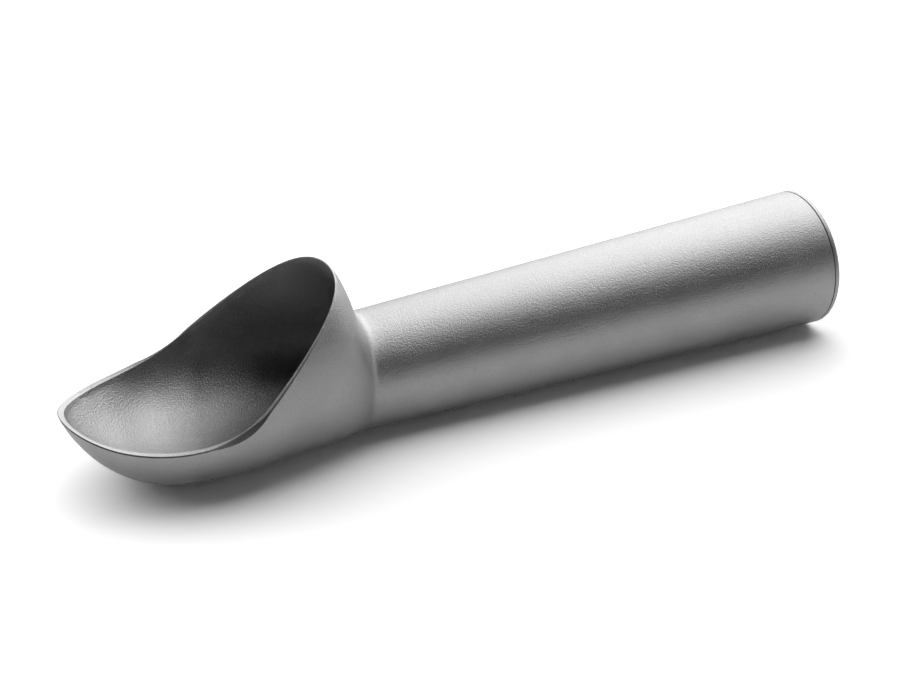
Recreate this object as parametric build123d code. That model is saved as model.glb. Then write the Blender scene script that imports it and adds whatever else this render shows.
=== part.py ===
from build123d import *
import math
import os

# All sizes are in millimetres. The scoop lies on its belly: +X runs along the handle to its butt,
# Y runs across, and the floor is at Z = 0. The middle of the overall length is at X = 0.

# Overall sizes
overall_length = 177.4
bowl_width = 44.3
peak_height = 39.0
butt_diameter = 30.5
neck_diameter = 24.6

# Bowl: its places along X are measured from its widest section
bowl_front = 29.5
belly_height = 17.5
peak_back = 29.0
front_droop = 1.4
wall_lean = 65.2
cavity_side_rise = 32.0
rim_wall = 1.4
peak_wall = 0.7
bowl_floor = 3.0
crease_radius = 3.0
rim_outer_edge = 0.25
rim_inner_edge = 0.12

# Rim seen from the side: it dips behind the tip, bends up and runs straight to the peak
rim_tip_height = 17.1
rim_tip_slope = -0.5
rim_low_front = 14.2
rim_low_height = 14.4
rim_flank_back = 6.3
rim_flank_height = 20.4

# Bevel on the rim's outside where the bowl is widest: the half width at which it starts, and its angle
bevel_half_width = 21.3
bevel_angle = 56.0

# Handle: the neck's underside stands a little off the floor
neck_lift = 0.4
handle_wall = 3.2
bore_end_wall = 5.0
butt_edge = 0.15

# End cap
cap_thickness = 1.4
cap_outer_edge = 0.6
cap_seam_edge = 0.15
spigot_length = 9.0
spigot_clearance = 0.05
spigot_lead = 0.6
socket_end_gap = 1.0

# Seal ring and its groove
seal_section = 2.0
seal_squeeze = 0.18
seal_clearance = 0.02
seal_run = 4.0
groove_side_gap = 0.2

# Fluid charge
fluid_gap = 0.05
air_space = 2.4

# Places that follow from the sizes above
tip_x = -overall_length / 2
butt_x = overall_length / 2 - cap_thickness
mid_x = tip_x + bowl_front
peak_x = mid_x + peak_back
half_width = bowl_width / 2
butt_radius = butt_diameter / 2
neck_radius = neck_diameter / 2
neck_axis_z = neck_lift + neck_radius
handle_run = math.hypot(butt_x - peak_x, butt_radius - neck_axis_z)
socket_radius = butt_radius - handle_wall
spigot_radius = socket_radius - spigot_clearance
groove_depth = seal_section * (1 - seal_squeeze)
groove_radius = socket_radius - groove_depth
seal_height = groove_depth - 2 * seal_clearance
seal_width = seal_section**2 / seal_height
groove_width = seal_width + 2 * groove_side_gap

# The handle's own frame: its axis starts at the middle of the butt and runs towards the bowl
handle_frame = Plane(
    origin=(butt_x, 0, butt_radius),
    x_dir=(0, 1, 0),
    z_dir=(peak_x - butt_x, 0, neck_axis_z - butt_radius),
)
FROM_START = (Align.CENTER, Align.CENTER, Align.MIN)

# Sections of the bowl's outside, from the neck to the widest one, each leaning like the back wall.
# Columns: place at the floor and place at the top as shares of peak_back, rise of the floor line in mm,
# top as a share of peak_height, how far the half width has grown from the neck's radius to half_width,
# widest height as a share of belly_height.
outer_sections = [
    (1.238, 1.386, 1.25, 0.354, -0.270, 0.370),
    (1.051, 1.223, 0.25, 0.655, 0.060, 0.684),
    (0.898, 1.098, 0.18, 0.847, 0.330, 0.863),
    (0.701, 0.997, 0.10, 1.009, 0.508, 0.950),
    (0.428, 0.695, 0.05, 1.117, 0.732, 0.992),
    (0.000, 0.000, 0.00, 1.133, 1.000, 1.000),
]

# How square the cavity's back is in plan, where 2 is an ellipse: at the belly and below, and near the rim
back_power_low = 1.8
back_power_high = 2.7

# Stations of a rounded end, as shares of its length, and how blunt the tip is in plan and in side view
end_stations = [0.3, 0.55, 0.75, 0.88, 0.95, 0.985, 0.998]
plan_powers = (2.0, 0.52)
side_powers = (2.87, 0.8)


def egg_section(floor_x, floor_z, top_x, top_z, half, widest):
    """A section of the bowl's outside: a half-ellipse below its widest height and another above it."""
    rise = Vector(top_x - floor_x, 0, top_z - floor_z)
    across = Vector(0, -1, 0)
    plane = Plane(origin=(floor_x, 0, floor_z), x_dir=across, z_dir=across.cross(rise.normalized()))
    lower = EllipticalCenterArc((0, widest), half, widest, start_angle=180, arc_size=180)
    upper = EllipticalCenterArc((0, widest), half, rise.length - widest, start_angle=0, arc_size=180)
    return make_face((plane * lower).edges() + (plane * upper).edges())


def blunt(station, powers):
    """How much of its full size a rounded end keeps at a station between 0, its root, and 1, its tip."""
    return (1 - station ** powers[0]) ** powers[1]


def bowl_outside():
    """The bowl as a closed pod, from the neck to the tip, before it is cut open."""
    sections = []
    for floor_share, top_share, rise, high_share, wide_share, belly_share in outer_sections:
        floor_x = mid_x + floor_share * peak_back
        top_x = mid_x + top_share * peak_back
        top_z = high_share * peak_height
        half = neck_radius + wide_share * (half_width - neck_radius)
        sections.append(egg_section(floor_x, rise, top_x, top_z, half, belly_share * belly_height))
    for station in end_stations:
        x = mid_x - bowl_front * station
        half = half_width * blunt(station, plan_powers)
        low = belly_height * (1 - blunt(station, side_powers))
        high = belly_height + (top_z - belly_height) * blunt(station, (2, 0.5))
        droop = front_droop * 6.75 * station**2 * (1 - station)
        widest = belly_height - droop
        sections.append(egg_section(x, low, x, high, half, widest - low))
    return loft([*sections, Vertex(tip_x, 0, belly_height)])


def handle_radius(run):
    """The handle's radius at a run along its axis, counted from the butt towards the bowl."""
    return butt_radius + (neck_radius - butt_radius) * run / handle_run


def handle_outside():
    """The tapered handle, from its butt to its inner end inside the bowl."""
    return handle_frame * Cone(butt_radius, neck_radius, handle_run, align=FROM_START)


def leaning_reach(half, depth, height, slope):
    """Reach of a cavity wall: an ellipse at the bottom that runs on as a straight leaning wall."""
    ratio = slope * depth / half
    join = depth * ratio / math.sqrt(1 + ratio**2)
    if height <= join:
        return half * math.sqrt(1 - (height / depth) ** 2)
    return half * math.sqrt(1 - (join / depth) ** 2) - slope * (height - join)


def cavity_back():
    """Reach of the cavity behind the widest section, with the back wall peak_wall thick at the peak."""
    lean = math.radians(wall_lean)
    drop = (belly_height - bowl_floor) * math.cos(lean)
    off_peak = peak_back * math.sin(lean) + (peak_height - belly_height) * math.cos(lean) - peak_wall
    return math.sqrt(off_peak**2 - drop**2) / math.sin(lean)


def bore_run():
    """Depth of the bore from the butt, which leaves bore_end_wall behind the bowl's cavity."""
    end_x = mid_x + cavity_back() + bore_end_wall
    return handle_run * (butt_x - end_x) / (butt_x - peak_x)


def back_power(height):
    """How square the cavity's back is at a height above the belly."""
    share = min(max(height / (peak_height - belly_height), 0), 1)
    return back_power_low + (back_power_high - back_power_low) * share**2


def back_curve(rear, wide, power):
    """The back half of a cavity slice: a half-ellipse squared off by a power, from one side to the other."""
    points = []
    for angle in range(-90, 91, 15):
        turn = math.radians(angle)
        across = math.copysign(abs(math.sin(turn)) ** (2 / power), turn)
        points.append((rear * abs(math.cos(turn)) ** (2 / power), wide * across))
    points[0], points[-1] = (0, -wide), (0, wide)
    return Spline(*points, tangents=[(1, 0), (-1, 0)])


def bowl_cavity():
    """The bowl's inside: level slices, each a half-ellipse in front and a squarer curve behind."""
    depth = belly_height - bowl_floor
    rise = peak_height + rim_wall - belly_height
    heights = [-depth * station for station in reversed(end_stations)]
    heights += [rise * share for share in (0, 0.12, 0.25, 0.4, 0.6, 0.8, 1)]
    slices = [Vertex(mid_x, 0, bowl_floor)]
    for height in heights:
        fore = leaning_reach(bowl_front - rim_wall, depth, height, 0)
        rear = leaning_reach(cavity_back(), depth, height, 1 / math.tan(math.radians(wall_lean)))
        taper = height / (depth if height < 0 else cavity_side_rise)
        wide = (half_width - rim_wall) * math.sqrt(1 - taper**2)
        plane = Plane(origin=(mid_x, 0, belly_height + height))
        fore_arc = plane * EllipticalCenterArc((0, 0), fore, wide, start_angle=90, arc_size=180)
        rear_arc = plane * back_curve(rear, wide, back_power(height))
        slices.append(make_face(fore_arc.edges() + rear_arc.edges()))
    return loft(slices)


def above_rim_outline():
    """The side view of all that lies above the rim."""
    tip = (tip_x, rim_tip_height)
    low = (mid_x - rim_low_front, rim_low_height)
    flank = (mid_x + rim_flank_back, rim_flank_height)
    slope = (peak_height - flank[1]) / (peak_x - flank[0])
    clear_z = 1.5 * peak_height
    clear = (flank[0] + (clear_z - flank[1]) / slope, clear_z)
    dip = Spline(tip, low, flank, tangents=[(1, rim_tip_slope), (1, 0), (1, slope)])
    outside_x = tip_x - bowl_front
    outside_z = rim_tip_height - bowl_front * rim_tip_slope
    edge = Polyline(flank, clear, (outside_x, clear_z), (outside_x, outside_z), tip)
    return Plane.XZ * make_face(dip.edges() + edge.edges())


def above_rim():
    """All that lies above the rim, over the bowl's full width."""
    return extrude(Pos(0, bowl_width, 0) * above_rim_outline(), 2 * bowl_width)


def side_bevel(side):
    """What the bevel on one side takes off: the space above a rim that falls away outwards."""
    angle = math.radians(bevel_angle)
    outwards = (0, side * math.cos(angle), -math.sin(angle))
    return extrude(Pos(0, side * bevel_half_width, 0) * above_rim_outline(), bowl_width, dir=outwards)


def bore(inset):
    """The handle's blind bore, tapered like its outside and domed at the bowl end, drawn in by an inset."""
    wall = handle_wall + inset
    dome_end = bore_run() - inset
    dome_radius = handle_radius(dome_end) - wall
    dome_start = dome_end - dome_radius
    taper = Cone(butt_radius - wall, handle_radius(dome_start) - wall, dome_start, align=FROM_START)
    return handle_frame * (taper + Pos(0, 0, dome_start) * Sphere(handle_radius(dome_start) - wall))


def socket():
    """The straight seat for the cap's spigot, bored into the butt."""
    return handle_frame * Cylinder(socket_radius, spigot_length + socket_end_gap, align=FROM_START)


def land_edges(body):
    """The curved edges of the rim's land, whose faces run straight across the bowl."""
    edges = []
    for face in body.faces():
        straight_across = face.geom_type in (GeomType.EXTRUSION, GeomType.PLANE)
        if straight_across and face.normal_at().Z > 0.3:
            edges += [edge for edge in face.edges() if edge.geom_type != GeomType.LINE]
    return edges


def scoop_casting():
    """Bowl and hollow handle in one casting."""
    body = bowl_outside() + handle_outside()
    crease = [edge for edge in body.edges() if mid_x < edge.center().X < mid_x + 2 * peak_back]
    body = fillet(crease, crease_radius) - above_rim()
    body = chamfer(land_edges(body), rim_outer_edge) - side_bevel(1) - side_bevel(-1)
    cavity = bowl_cavity()
    opened = body - cavity
    body = fillet(new_edges(body, cavity, combined=opened), rim_inner_edge)
    body = body - bore(0) - socket()
    butt_face = body.faces().filter_by(GeomType.PLANE).sort_by(Axis.X)[-1]
    return fillet(butt_face.outer_wire().edges(), butt_edge)


def turned(profile):
    """A piece turned about the handle's axis, from a flat profile given as radius and run."""
    return revolve(Plane.XZ * profile, Axis.Z)


def widest_edges(piece):
    """The two largest round edges of a turned piece, the outer one first."""
    circles = piece.edges().filter_by(GeomType.CIRCLE)
    return circles.sort_by(lambda edge: edge.radius)[-2:].sort_by(Axis.Z)


def end_cap():
    """The lid, with a spigot that plugs the socket and carries the seal ring."""
    outline = Polyline(
        (0, -cap_thickness),
        (butt_radius, -cap_thickness),
        (butt_radius, 0),
        (spigot_radius, 0),
        (spigot_radius, seal_run - groove_width / 2),
        (groove_radius, seal_run - groove_width / 2),
        (groove_radius, seal_run + groove_width / 2),
        (spigot_radius, seal_run + groove_width / 2),
        (spigot_radius, spigot_length - spigot_lead),
        (spigot_radius - spigot_lead, spigot_length),
        (0, spigot_length),
        (0, -cap_thickness),
    )
    cap = turned(make_face(outline.edges()))
    cap = fillet(widest_edges(cap)[0], cap_outer_edge)
    return handle_frame * fillet(widest_edges(cap)[1], cap_seam_edge)


def seal_ring():
    """The rubber ring, squeezed to an oval between the groove and the socket."""
    centre = Pos((groove_radius + socket_radius) / 2, seal_run)
    return handle_frame * turned(centre * Ellipse(seal_height / 2, seal_width / 2))


def heat_fluid():
    """The fluid charge: it fills the bore to a level surface, under a small air space."""
    level_z = butt_radius + socket_radius - air_space
    below = Box(overall_length, bowl_width, level_z, align=(Align.CENTER, Align.CENTER, Align.MIN))
    plug = handle_frame * Cylinder(butt_radius, spigot_length + fluid_gap, align=FROM_START)
    return (bore(fluid_gap) & below) - plug


os.makedirs("parts", exist_ok=True)
export_step(scoop_casting(), "parts/scoop_casting.step")
export_step(end_cap(), "parts/end_cap.step")
export_step(seal_ring(), "parts/seal_ring.step")
export_step(heat_fluid(), "parts/heat_fluid.step")
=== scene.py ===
# %% [markdown]
# # An ice cream scoop of cast aluminium
#
# This lesson dresses a scoop that has no moving parts: a bowl and a hollow handle in one casting, and a
# round lid that closes the butt of the handle. Its solids already exist at their real size. We load them
# as a fixed frame and give them their finish, inside a small studio with a camera.
#
# Everything is in metres, +X runs along the handle to its butt, and the floor is at Z = 0.

# %% Load the frame
import math

import bmesh
import bpy
import numpy as np
from mathutils import Euler, Matrix, Vector


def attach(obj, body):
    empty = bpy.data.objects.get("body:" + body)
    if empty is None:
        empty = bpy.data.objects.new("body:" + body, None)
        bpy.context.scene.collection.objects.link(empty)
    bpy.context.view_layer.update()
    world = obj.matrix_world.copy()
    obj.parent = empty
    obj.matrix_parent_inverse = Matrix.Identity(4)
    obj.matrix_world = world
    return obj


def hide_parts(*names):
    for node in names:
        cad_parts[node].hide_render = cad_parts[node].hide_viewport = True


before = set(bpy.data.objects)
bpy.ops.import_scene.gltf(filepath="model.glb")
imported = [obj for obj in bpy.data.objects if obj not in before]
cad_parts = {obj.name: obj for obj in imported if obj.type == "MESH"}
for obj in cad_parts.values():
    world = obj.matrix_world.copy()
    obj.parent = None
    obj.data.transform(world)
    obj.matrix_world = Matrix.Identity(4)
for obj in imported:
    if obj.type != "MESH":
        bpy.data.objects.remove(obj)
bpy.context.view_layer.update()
MM = 0.001
scene = bpy.context.scene
scene.view_settings.view_transform = "Standard"
print("pieces in the frame:", ", ".join(sorted(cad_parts)))

# %% [markdown]
# ## The camera
#
# The scoop is seen from a low angle through a long lens, from the bowl's side. A camera can be placed by
# its location and rotation alone, but those numbers say little. Here it is placed the way a photographer
# thinks: a point to look at, a distance, an angle round the object, an angle above the table, and a hint
# of roll.

# %% Place the camera
lens = 100.0
sensor_width = 36.0
nearest_seen = 0.01
view_azimuth = math.radians(-27.94)
view_elevation = math.radians(25.92)
view_roll = math.radians(-0.19)
view_distance = 0.55
view_target = Vector((0.0064, 0.0153, 0.0071))

camera_data = bpy.data.cameras.new("photo_camera")
camera_data.lens = lens
camera_data.sensor_width = sensor_width
camera_data.clip_start = nearest_seen
camera = bpy.data.objects.new("photo_camera", camera_data)
scene.collection.objects.link(camera)
level_view = Euler((math.pi / 2 - view_elevation, 0, view_azimuth)).to_matrix()
camera.rotation_euler = (level_view @ Matrix.Rotation(view_roll, 3, "Z")).to_euler()
towards_camera = camera.rotation_euler.to_matrix() @ Vector((0, 0, 1))
camera.location = view_target + view_distance * towards_camera
scene.camera = camera
print("camera at", [round(value, 4) for value in camera.location])

# %% [markdown]
# ## A white backdrop that stays out of the way
#
# The scoop lies on white with nothing behind it. A bright world would do that, but it would also fill
# the shadow. The Light Path node tells the two uses apart. Rays from the camera, rays that the metal
# mirrors and rays through the fluid see pure white. The rays that light the floor see a nearly black sky.

# %% Build the world
sky_seen = 1.0
sky_light = 0.01
seeing_rays = ("Is Camera Ray", "Is Glossy Ray", "Is Transmission Ray")


def feed(tree, value, socket):
    """Gives an input a plain value, or links another node's output to it."""
    if isinstance(value, bpy.types.NodeSocket):
        tree.links.new(value, socket)
    else:
        socket.default_value = value


def maths(tree, operation, *values):
    """A Math node of one operation on two or three values."""
    node = tree.nodes.new("ShaderNodeMath")
    node.operation = operation
    for value, socket in zip(values, node.inputs):
        feed(tree, value, socket)
    return node.outputs[0]


def any_of(tree, masks):
    """The largest of several masks."""
    total = masks[0]
    for mask in masks[1:]:
        total = maths(tree, "MAXIMUM", total, mask)
    return total


def mapped(tree, value, source=(0, 1), target=(0, 1)):
    """A value carried from one range to another, and held at its ends."""
    node = tree.nodes.new("ShaderNodeMapRange")
    for name, end in zip(("From Min", "From Max", "To Min", "To Max"), (*source, *target)):
        node.inputs[name].default_value = end
    tree.links.new(value, node.inputs["Value"])
    return node.outputs["Result"]


world = bpy.data.worlds.new("white_backdrop")
scene.world = world
world.use_nodes = True
tree = world.node_tree
path = tree.nodes.new("ShaderNodeLightPath")
seen = any_of(tree, [path.outputs[name] for name in seeing_rays])
strength = mapped(tree, seen, target=(sky_light, sky_seen))
tree.links.new(strength, tree.nodes["Background"].inputs["Strength"])
tree.nodes["Background"].inputs["Color"].default_value = (1, 1, 1, 1)
print("world: seen at", sky_seen, "and lighting at", sky_light)

# %% [markdown]
# ## The floor
#
# White paper, and for the camera a little past white. A floor that shines by itself would be easier to
# get white, but it would swallow the contact shadow. A plain matt floor keeps it, and the Light Path
# node lifts its colour for the camera. The metal sees another grey in its mirror images, with a faint
# shine for the light that a real room sends back. Far from the scoop the lamps fade, so there the paper
# shines for the camera alone, and no horizon shows in a low view.

# %% Mix the paper
paper_to_light = 0.5
paper_to_metal = 0.95
paper_to_camera = 1.8


def new_material(name):
    """A material with its tree and its Principled shader."""
    material = bpy.data.materials.new(name)
    material.use_nodes = True
    return material, material.node_tree, material.node_tree.nodes["Principled BSDF"]


def make_matt(shader, grey):
    """Sets a shader to a matt surface of one grey."""
    shader.inputs["Base Color"].default_value = (grey, grey, grey, 1)
    shader.inputs["Roughness"].default_value = 1.0
    shader.inputs["Specular IOR Level"].default_value = 0.0


def grey_mix(tree, mask, low, high):
    """A grey that goes from low, a number or another mix, to high as the mask rises."""
    if isinstance(low, float):
        low = (low, low, low, 1)
    node = tree.nodes.new("ShaderNodeMix")
    node.data_type = "RGBA"
    feed(tree, mask, node.inputs["Factor"])
    feed(tree, low, node.inputs["A"])
    feed(tree, (high, high, high, 1), node.inputs["B"])
    return node.outputs["Result"]


paper, tree, shader = new_material("white_paper")
make_matt(shader, paper_to_light)
path = tree.nodes.new("ShaderNodeLightPath")
to_camera = path.outputs["Is Camera Ray"]
to_metal = any_of(tree, [path.outputs["Is Glossy Ray"], path.outputs["Is Transmission Ray"]])
paper_grey = grey_mix(tree, to_metal, paper_to_light, paper_to_metal)
paper_grey = grey_mix(tree, to_camera, paper_grey, paper_to_camera)
tree.links.new(paper_grey, shader.inputs["Base Color"])
print("paper:", paper_to_light, "to light,", paper_to_metal, "to metal,", paper_to_camera, "to the camera")

# %% Let the far paper shine
shine_to_metal = 0.04
shine_start = 0.3
shine_full = 0.9

coordinates = tree.nodes.new("ShaderNodeTexCoord")
distance = tree.nodes.new("ShaderNodeVectorMath")
distance.operation = "LENGTH"
tree.links.new(coordinates.outputs["Object"], distance.inputs[0])
far_away = mapped(tree, distance.outputs["Value"], source=(shine_start, shine_full))
far_away.node.interpolation_type = "SMOOTHSTEP"
shine_to_camera = maths(tree, "MULTIPLY", far_away, to_camera)
shine = maths(tree, "MULTIPLY_ADD", to_metal, shine_to_metal, shine_to_camera)
tree.links.new(shine, shader.inputs["Emission Strength"])
shader.inputs["Emission Color"].default_value = (1, 1, 1, 1)
print("paper shines from", shine_start, "to", shine_full, "m")

# %% Lay the floor
floor_half = 3.0


def studio_sheet(name, corners, faces, material):
    """A flat or bent sheet of the studio."""
    mesh = bpy.data.meshes.new(name)
    mesh.from_pydata(corners, [], faces)
    mesh.materials.append(material)
    item = bpy.data.objects.new(name, mesh)
    scene.collection.objects.link(item)
    return item


floor_corners = [(x * floor_half, y * floor_half, 0) for x, y in ((-1, -1), (1, -1), (1, 1), (-1, 1))]
studio_sheet("floor", floor_corners, [(0, 1, 2, 3)], paper)
print("floor", 2 * floor_half, "m wide")

# %% [markdown]
# ## Softboxes
#
# Satin metal is drawn by what it mirrors. One softbox above and behind the scoop makes the long bright
# band on the handle, and its front edge makes the soft step to the dark band. The shadow asks for a
# wider source, so a second panel lights the floor only. One lamp for both would need a compromise.

# %% Hang the softboxes
band_size = (1.18, 1.9)
band_place = (0.71, 0.5, 0.74)
band_aim = (0.45, 0, 0)
band_luminance = 1.27
panel_size = (3.0, 2.4)
panel_place = (-0.1, 0.45, 0.9)
panel_aim = (-0.1, 0, 0)
panel_luminance = 1.2


def softbox(name, size, place, aim, luminance):
    """A rectangular panel that shines with a given luminance, hidden from the camera."""
    data = bpy.data.lights.new(name, "AREA")
    data.shape = "RECTANGLE"
    data.size, data.size_y = size
    data.energy = luminance * math.pi * size[0] * size[1]
    item = bpy.data.objects.new(name, data)
    scene.collection.objects.link(item)
    item.location = place
    item.rotation_euler = (Vector(aim) - Vector(place)).to_track_quat("-Z", "Y").to_euler()
    item.visible_camera = False
    return item


band_softbox = softbox("band_softbox", band_size, band_place, band_aim, band_luminance)
band_softbox.visible_diffuse = False
floor_softbox = softbox("floor_softbox", panel_size, panel_place, panel_aim, panel_luminance)
floor_softbox.visible_glossy = False
for item in (band_softbox, floor_softbox):
    print(item.name, "gives", round(item.data.energy, 1), "W")

# %% [markdown]
# ## Black flags
#
# A photographer darkens metal by hanging black cloth where the metal looks. A curved wall on the
# camera's side makes the dark band along the handle, and a flat sheet overhead on the left keeps the
# inside of the bowl dark. Painting these bands into the material would look right from one side only.
# The camera doesn't see the cloth, and it casts no shadow, so the floor's light stays even.

# %% Hang the flags
cloth_grey = 0.03
wall_radius = 1.0
wall_height = 1.0
wall_foot = 1 * MM
wall_start = -230
wall_end = -20
wall_step = 10
flag_height = 1.5
flag_edge = 0.375
flag_reach = 4.0

cloth, tree, shader = new_material("black_cloth")
make_matt(shader, cloth_grey)
wall_angles = [math.radians(angle) for angle in range(wall_start, wall_end + 1, wall_step)]
wall_corners = [
    (wall_radius * math.cos(angle), wall_radius * math.sin(angle), z)
    for z in (wall_foot, wall_height)
    for angle in wall_angles
]
columns = len(wall_angles)
wall_faces = [(i, i + 1, columns + i + 1, columns + i) for i in range(columns - 1)]
flag_corners = [
    (-flag_reach, -flag_reach, flag_height),
    (flag_edge, -flag_reach, flag_height),
    (flag_edge, flag_reach, flag_height),
    (-flag_reach, flag_reach, flag_height),
]
for item in (
    studio_sheet("front_wall", wall_corners, wall_faces, cloth),
    studio_sheet("overhead_flag", flag_corners, [(0, 1, 2, 3)], cloth),
):
    item.visible_camera = False
    item.visible_shadow = False
    print(item.name, "has", len(item.data.polygons), "faces")

# %% [markdown]
# ## Grain, shared by every finish
#
# The casting is blasted with fine beads, which leaves dimples about a third of a millimetre wide, in
# faint clouds where the jet lingered. The rubber carries a grain of the same kind at another size. An
# effect that several materials share belongs in one node group: it puts out a height for the bump, a
# slow cloud for the roughness and a tone for the colour, and each material sets its own scale.

# %% Build the grain group
grit_detail = 2.0
cloud_detail = 3.0
noise_range = (0.3, 0.7)
grit_in_tone = 0.6


def noise(tree, detail):
    """A noise texture with a given number of finer layers."""
    node = tree.nodes.new("ShaderNodeTexNoise")
    node.inputs["Detail"].default_value = detail
    return node


def blend(tree, share, first, second):
    """A mix of two values, where the share of the second is a number or another node's output."""
    node = tree.nodes.new("ShaderNodeMix")
    feed(tree, share, node.inputs["Factor"])
    tree.links.new(first, node.inputs["A"])
    tree.links.new(second, node.inputs["B"])
    return node.outputs["Result"]


def grain_group():
    """Dimples and slow clouds, from a position in metres."""
    tree = bpy.data.node_groups.new("blasted_grain", "ShaderNodeTree")
    socket = tree.interface.new_socket
    socket("Position", in_out="INPUT", socket_type="NodeSocketVector")
    for name in ("Grain Scale", "Cloud Scale", "Dimple Share"):
        socket(name, in_out="INPUT", socket_type="NodeSocketFloat")
    for name in ("Height", "Cloud", "Tone"):
        socket(name, in_out="OUTPUT", socket_type="NodeSocketFloat")
    inlet = tree.nodes.new("NodeGroupInput").outputs
    outlet = tree.nodes.new("NodeGroupOutput").inputs

    grit = noise(tree, grit_detail)
    clouds = noise(tree, cloud_detail)
    dimples = tree.nodes.new("ShaderNodeTexVoronoi")
    dimples.feature = "SMOOTH_F1"
    for node, scale in ((grit, "Grain Scale"), (dimples, "Grain Scale"), (clouds, "Cloud Scale")):
        tree.links.new(inlet["Position"], node.inputs["Vector"])
        tree.links.new(inlet[scale], node.inputs["Scale"])

    height = blend(tree, inlet["Dimple Share"], grit.outputs["Fac"], dimples.outputs["Distance"])
    cloud_mask = mapped(tree, clouds.outputs["Fac"], source=noise_range)
    grit_mask = mapped(tree, grit.outputs["Fac"], source=noise_range)
    tree.links.new(height, outlet["Height"])
    tree.links.new(cloud_mask, outlet["Cloud"])
    tree.links.new(blend(tree, grit_in_tone, cloud_mask, grit_mask), outlet["Tone"])
    return tree


grain = grain_group()
print("node group", grain.name, "with", len(grain.nodes), "nodes")

# %% Place the grain in a material
def add_grain(tree, shader, sizes, depth, roughness, greys):
    """Bump from the grain's height, roughness from its clouds and greys from its tone."""
    coordinates = tree.nodes.new("ShaderNodeTexCoord")
    node = tree.nodes.new("ShaderNodeGroup")
    node.node_tree = grain
    for name, value in sizes.items():
        node.inputs[name].default_value = value
    tree.links.new(coordinates.outputs["Object"], node.inputs["Position"])
    bump = tree.nodes.new("ShaderNodeBump")
    bump.inputs["Strength"].default_value = 1.0
    bump.inputs["Distance"].default_value = depth
    tree.links.new(node.outputs["Height"], bump.inputs["Height"])
    tree.links.new(bump.outputs["Normal"], shader.inputs["Normal"])
    tree.links.new(mapped(tree, node.outputs["Cloud"], target=roughness), shader.inputs["Roughness"])
    tree.links.new(grey_mix(tree, node.outputs["Tone"], *greys), shader.inputs["Base Color"])


print("sockets of the grain:", ", ".join(item.name for item in grain.interface.items_tree))

# %% [markdown]
# ## Satin aluminium
#
# A cast and blasted aluminium, neither mirror nor paint. It is all metal, with a mid grey that tells how
# much light comes back, and a roughness that blurs the softbox into a band. The grain moves both a
# little, as on a real casting.

# %% Mix the aluminium
aluminium_greys = (0.41, 0.53)
aluminium_roughness = (0.41, 0.45)
dimple_size = 0.33 * MM
dimple_depth = 0.12 * MM
aluminium_grain = {"Grain Scale": 1 / dimple_size, "Cloud Scale": 120.0, "Dimple Share": 0.15}

aluminium, tree, shader = new_material("satin_aluminium")
shader.inputs["Metallic"].default_value = 1.0
add_grain(tree, shader, aluminium_grain, dimple_depth, aluminium_roughness, aluminium_greys)
print("aluminium:", round(1 / dimple_size), "dimples a metre")

# %% [markdown]
# ## Rubber and fluid, out of sight
#
# A rubber ring seals the lid, and a clear fluid fills the handle to carry the hand's warmth to the bowl.
# Neither shows while the scoop is whole. They keep their own meshes and still get a true finish, so that
# the parts look right when someone takes the scoop apart. The rubber is nearly black with a fine matt
# grain. The fluid is clear, with the slightest unevenness where it wets the wall.

# %% Finish the seal ring
rubber_greys = (0.012, 0.022)
rubber_roughness = (0.5, 0.65)
rubber_gloss = 0.35
rubber_depth = 0.01 * MM
rubber_grain = {"Grain Scale": 6000.0, "Cloud Scale": 400.0, "Dimple Share": 0.1}

rubber, tree, shader = new_material("black_rubber")
shader.inputs["Specular IOR Level"].default_value = rubber_gloss
add_grain(tree, shader, rubber_grain, rubber_depth, rubber_roughness, rubber_greys)


def wear(name, material):
    """Gives a solid of the frame a material in each of its slots."""
    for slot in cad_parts[name].material_slots:
        slot.material = material
    print(name, "wears", material.name)


wear("seal_ring", rubber)

# %% Finish the fluid
fluid_greys = (0.93, 0.98)
fluid_roughness = (0.0, 0.03)
fluid_bending = 1.36
fluid_depth = 0.02 * MM
fluid_grain = {"Grain Scale": 300.0, "Cloud Scale": 60.0, "Dimple Share": 0.0}

fluid, tree, shader = new_material("clear_fluid")
shader.inputs["Transmission Weight"].default_value = 1.0
shader.inputs["IOR"].default_value = fluid_bending
add_grain(tree, shader, fluid_grain, fluid_depth, fluid_roughness, fluid_greys)
wear("heat_fluid", fluid)

# %% [markdown]
# ## The casting
#
# Bowl and handle are one piece of metal: a deep bowl with a slanted back, an S-shaped rim that thins
# towards the peak, and a round tapered handle. Its shape is fixed by the solid, so it isn't modelled
# again. A copy of its mesh is taken and its loose triangles are merged, which gives the smooth shading
# that the finish needs. Only the corners of the rim and the butt stay sharp.

# %% Copy the casting's surface
corner_angle = math.radians(20)
weld_distance = MM / 1000


def merged_copy(node, name):
    """A copy of a solid's mesh with its triangles joined, free of the frame."""
    mesh = node.data.copy()
    mesh.name = name
    joined = bmesh.new()
    joined.from_mesh(mesh)
    bmesh.ops.remove_doubles(joined, verts=joined.verts, dist=weld_distance)
    joined.to_mesh(mesh)
    joined.free()
    piece = bpy.data.objects.new(name, mesh)
    scene.collection.objects.link(piece)
    return piece


def finish_surface(piece, material):
    """One material, and smooth shading up to the corner angle."""
    piece.data.materials.clear()
    piece.data.materials.append(material)
    piece.data.polygons.foreach_set("use_smooth", [True] * len(piece.data.polygons))
    piece.data.set_sharp_from_angle(angle=corner_angle)


casting = merged_copy(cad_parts["scoop_casting"], "bowl_and_handle")
print(casting.name, "has", len(casting.data.polygons), "triangles")

# %% [markdown]
# ## A thicker nose
#
# Towards the tip, the real bowl grows thicker under its thin rim, so its inside runs out in a gentle
# ramp that lets ice cream slide in. The solid's inside is steeper there. Modelling the bowl again would
# be a long way round. Instead, the points of the inside move towards the bowl's axis, by a share that
# grows with their depth under the rim and fades out behind the nose.

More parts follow.
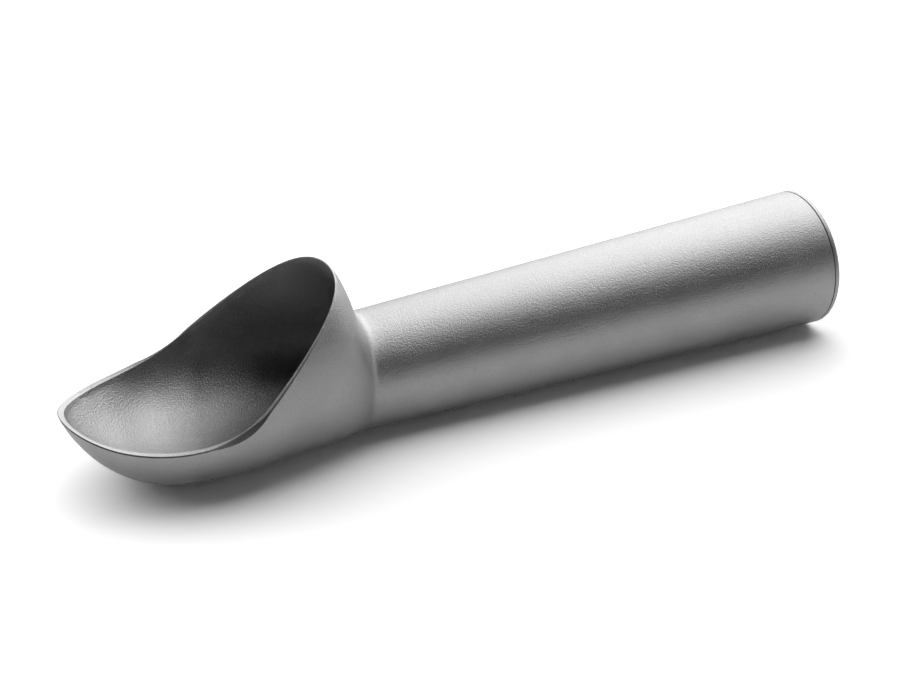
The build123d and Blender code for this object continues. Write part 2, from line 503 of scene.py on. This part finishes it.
# %% Find the points inside the bowl
bowl_axis = np.array([-59.2, 0.0, 30.0]) * MM
bowl_end = -30.0 * MM
slice_step = 0.5 * MM
slice_reach = 1.2 * MM
rim_strip = 0.6 * MM
least_facing = 0.15


def per_vertex(collection, name):
    """A vector for each vertex, as an array with three columns."""
    values = np.empty(3 * len(collection))
    collection.foreach_get(name, values)
    return values.reshape(-1, 3)


mesh = casting.data
points = per_vertex(mesh.vertices, "co")
normals = per_vertex(mesh.vertex_normals, "vector")
in_bowl = points[:, 0] < bowl_end
stations = np.arange(points[:, 0].min(), bowl_end, slice_step)
rim_heights = [points[in_bowl & (abs(points[:, 0] - x) < slice_reach), 2].max() for x in stations]
rim = np.interp(points[:, 0], stations, rim_heights)
to_axis = bowl_axis - points
facing = (normals * to_axis).sum(axis=1) / np.linalg.norm(to_axis, axis=1)
inside = in_bowl & (facing > least_facing) & (points[:, 2] < rim - rim_strip)
print(int(inside.sum()), "of", len(points), "points are inside the bowl")

# %% Draw the nose in
bowl_floor = 3.0 * MM
nose_start = -64.0 * MM
nose_full = -76.0 * MM
ramp = 0.6

depth = np.clip((rim - rim_strip - points[:, 2]) / (rim - bowl_floor), 0, 1)
nose = np.clip((nose_start - points[:, 0]) / (nose_start - nose_full), 0, 1)
nose = nose**2 * (3 - 2 * nose)
draw_in = nose * (1 - np.sqrt((1 + ramp * depth) / (1 + depth)))
for column in (0, 1):
    points[inside, column] -= ((points[:, column] - bowl_axis[column]) * draw_in)[inside]
mesh.vertices.foreach_set("co", points.ravel())
mesh.update()
finish_surface(casting, aluminium)
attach(casting, "root")
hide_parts("scoop_casting")
print("the nose is drawn in by up to", round(100 * float(draw_in[inside].max())), "%")

# %% [markdown]
# ## The lid, turned in Geometry Nodes
#
# The lid is a disc with a spigot that plugs the handle. A turned piece follows one rule: a profile swept
# round an axis. A Screw modifier could do that, but a Geometry Nodes lathe keeps the corner rounding as
# an input of its own. The profile is a chain of corners, each with the radius that it is rounded by. The
# tree rounds the chain, sweeps it round a circle and welds the middle. Where the lid meets the butt, a
# narrow relief leaves the fine dark seam that shows on the real scoop.

# %% Build the lathe
def lathe_tree():
    """Rounds a chain of corners (x = radius, y = run) and turns it about Z."""
    tree = bpy.data.node_groups.new("lathe", "GeometryNodeTree")
    socket = tree.interface.new_socket
    socket("Profile", in_out="INPUT", socket_type="NodeSocketGeometry")
    socket("Sides", in_out="INPUT", socket_type="NodeSocketInt")
    socket("Corner Steps", in_out="INPUT", socket_type="NodeSocketInt")
    socket("Rail Radius", in_out="INPUT", socket_type="NodeSocketFloat")
    socket("Weld", in_out="INPUT", socket_type="NodeSocketFloat")
    socket("Material", in_out="INPUT", socket_type="NodeSocketMaterial")
    socket("Turned", in_out="OUTPUT", socket_type="NodeSocketGeometry")
    inlet = tree.nodes.new("NodeGroupInput").outputs
    outlet = tree.nodes.new("NodeGroupOutput").inputs

    def step(kind, links, **settings):
        """Adds a node, sets it up and links its inputs."""
        node = tree.nodes.new(kind)
        for name, value in settings.items():
            setattr(node, name, value)
        for name, output in links.items():
            tree.links.new(output, node.inputs[name])
        return node.outputs

    chain = step("GeometryNodeMeshToCurve", {"Mesh": inlet["Profile"]})["Curve"]
    rounding = tree.nodes.new("GeometryNodeInputNamedAttribute")
    rounding.data_type = "FLOAT"
    rounding.inputs["Name"].default_value = "rounding"
    links = {"Curve": chain, "Radius": rounding.outputs["Attribute"], "Count": inlet["Corner Steps"]}
    rounded = step("GeometryNodeFilletCurve", links, mode="POLY")["Curve"]

    # The sweep adds the rail's radius to each point, so the profile first moves inwards by as much.
    offset = step("ShaderNodeCombineXYZ", {"X": inlet["Rail Radius"]})["Vector"]
    inwards = step("ShaderNodeVectorMath", {"Vector": offset}, operation="SCALE")["Vector"]
    inwards.node.inputs["Scale"].default_value = -1.0
    profile = step("GeometryNodeSetPosition", {"Geometry": rounded, "Offset": inwards})["Geometry"]
    links = {"Resolution": inlet["Sides"], "Radius": inlet["Rail Radius"]}
    rail = step("GeometryNodeCurvePrimitiveCircle", links)["Curve"]
    swept = step("GeometryNodeCurveToMesh", {"Curve": rail, "Profile Curve": profile})["Mesh"]
    links = {"Geometry": swept, "Distance": inlet["Weld"]}
    welded = step("GeometryNodeMergeByDistance", links)["Geometry"]
    real = step("GeometryNodeRealizeInstances", {"Geometry": welded})["Geometry"]
    links = {"Geometry": real, "Material": inlet["Material"]}
    tree.links.new(step("GeometryNodeSetMaterial", links)["Geometry"], outlet["Turned"])
    return tree


lathe = lathe_tree()
print("lathe with", len(lathe.nodes), "nodes")

# %% [markdown]
# The lid's sizes are those of the solid that it stands for. Each corner gives a radius, a run from the
# butt towards the bowl, and a rounding. The outer face lies at a negative run.

# %% Lay out the lid's profile
butt_radius = 15.25 * MM
cap_thickness = 1.4 * MM
cap_edge = 0.6 * MM
seam_width = 0.16 * MM
seam_depth = 0.6 * MM
seam_edge = 0.06 * MM
spigot_radius = 12.0 * MM
spigot_length = 9.0 * MM
spigot_lead = 0.6 * MM
groove_radius = 10.41 * MM
groove_start = 2.55 * MM
groove_end = 5.45 * MM

seam_radius = butt_radius - seam_depth
lid_corners = [
    (0, -cap_thickness, 0),
    (butt_radius, -cap_thickness, cap_edge),
    (butt_radius, -seam_width, seam_edge),
    (seam_radius, -seam_width, 0),
    (seam_radius, 0, 0),
    (spigot_radius, 0, 0),
    (spigot_radius, groove_start, 0),
    (groove_radius, groove_start, 0),
    (groove_radius, groove_end, 0),
    (spigot_radius, groove_end, 0),
    (spigot_radius, spigot_length - spigot_lead, 0),
    (spigot_radius - spigot_lead, spigot_length, 0),
    (0, spigot_length, 0),
]
chain_points = [(radius, run, 0) for radius, run, rounding in lid_corners]
chain_edges = [(i, i + 1) for i in range(len(lid_corners) - 1)]
chain = bpy.data.meshes.new("lid_profile")
chain.from_pydata(chain_points, chain_edges, [])
roundings = chain.attributes.new("rounding", "FLOAT", "POINT")
roundings.data.foreach_set("value", [rounding for radius, run, rounding in lid_corners])
lid = bpy.data.objects.new("butt_lid", chain)
scene.collection.objects.link(lid)
print("the profile has", len(lid_corners), "corners")

# %% [markdown]
# A modifier's input goes by its socket's identifier, which a small helper looks up by name. The turned
# result is taken from the evaluated object as a plain mesh, and the modifier is removed. The sweep lays
# the run downwards, so the lid's own Z axis is laid along the handle's axis, pointing out of the butt.

# %% Turn the lid
lathe_settings = {
    "Sides": 128,
    "Corner Steps": 6,
    "Rail Radius": 50 * MM,
    "Weld": weld_distance,
    "Material": aluminium,
}


def set_input(modifier, name, value):
    """Sets a modifier's input by its name, through the socket's identifier."""
    sockets = modifier.node_group.interface.items_tree
    modifier[next(item.identifier for item in sockets if item.name == name)] = value


turning = lid.modifiers.new("turning", "NODES")
turning.node_group = lathe
for name, value in lathe_settings.items():
    set_input(turning, name, value)
evaluated_lid = lid.evaluated_get(bpy.context.evaluated_depsgraph_get())
turned = bpy.data.meshes.new_from_object(evaluated_lid)
lid.modifiers.remove(turning)
lid.data = turned
print("the lathe made", len(turned.polygons), "faces")

# %% Lay the lid along the handle
butt_centre = Vector((87.3, 0, 15.25)) * MM
out_of_butt = Vector((117.5, 0, 2.55))

along_handle = out_of_butt.to_track_quat("Z", "Y").to_matrix().to_4x4()
turned.transform(Matrix.Translation(butt_centre) @ along_handle)
shell = bmesh.new()
shell.from_mesh(turned)
bmesh.ops.recalc_face_normals(shell, faces=shell.faces)
open_edges = sum(not edge.is_manifold for edge in shell.edges)
lid_volume = shell.calc_volume() / MM**3
shell.to_mesh(turned)
shell.free()
finish_surface(lid, aluminium)
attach(lid, "root")
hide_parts("end_cap")
print(lid.name, "has", open_edges, "open edges and", round(lid_volume), "mm3")
